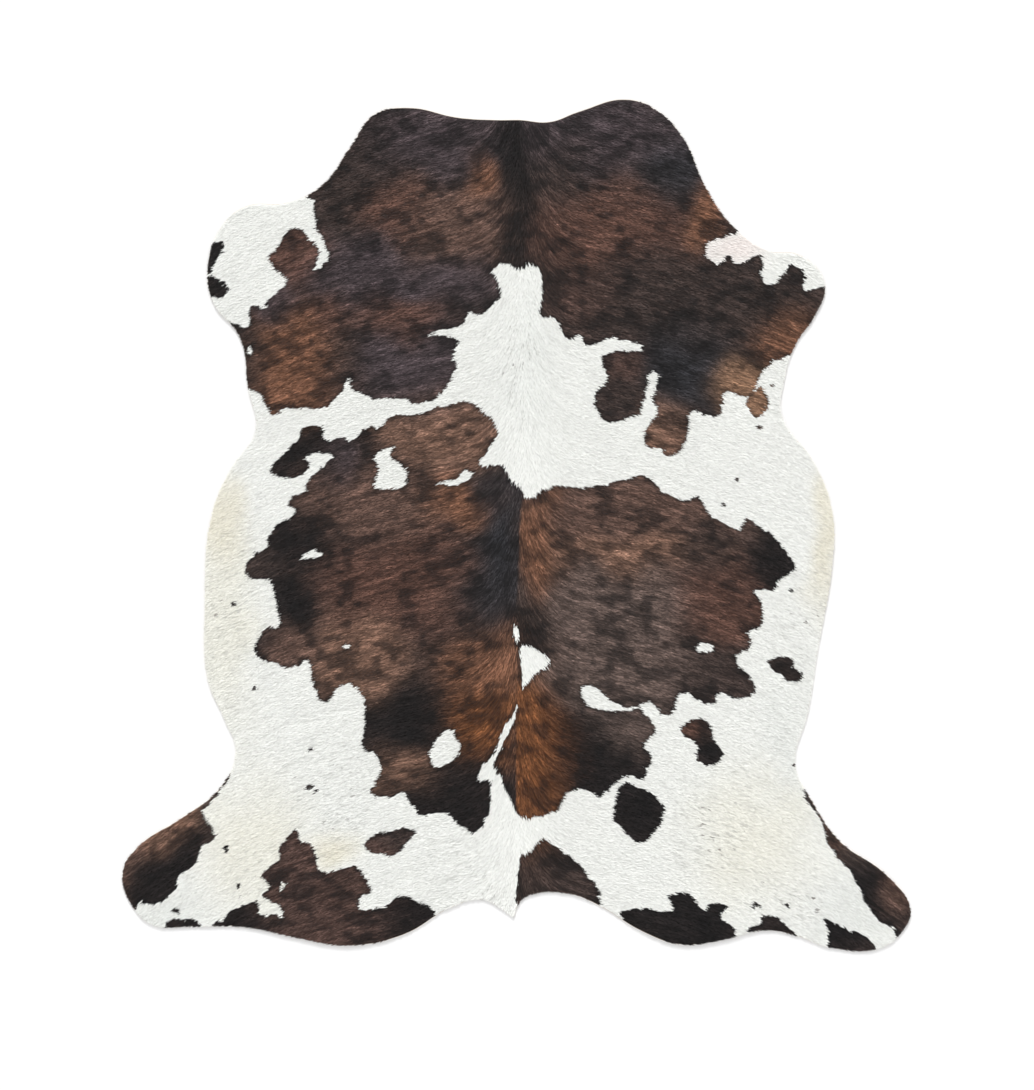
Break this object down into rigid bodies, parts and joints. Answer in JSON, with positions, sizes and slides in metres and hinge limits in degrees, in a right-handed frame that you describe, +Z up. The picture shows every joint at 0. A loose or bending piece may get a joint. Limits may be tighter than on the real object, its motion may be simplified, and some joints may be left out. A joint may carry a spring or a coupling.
{
  "type": "cowhide rug",
  "caption": "Whole hair-on hide laid flat as a rug, with neck, foreleg, hind leg and tail outline and dark brown and white patches.",
  "frame": {"origin": "on the surface the hide lies on, under the middle of its outline's box", "axes": "+Y towards the neck, +X to the right seen from the tail, +Z up out of the hair side"},
  "size_m": [2.03, 2.194, 0.006],
  "materials": {
    "hair_hide": "short glossy hair in dark brown, rust and white patches on suede-backed leather"
  },
  "bodies": {
    "root": {"hide": "hair_hide"}
  },
  "joints": []
}
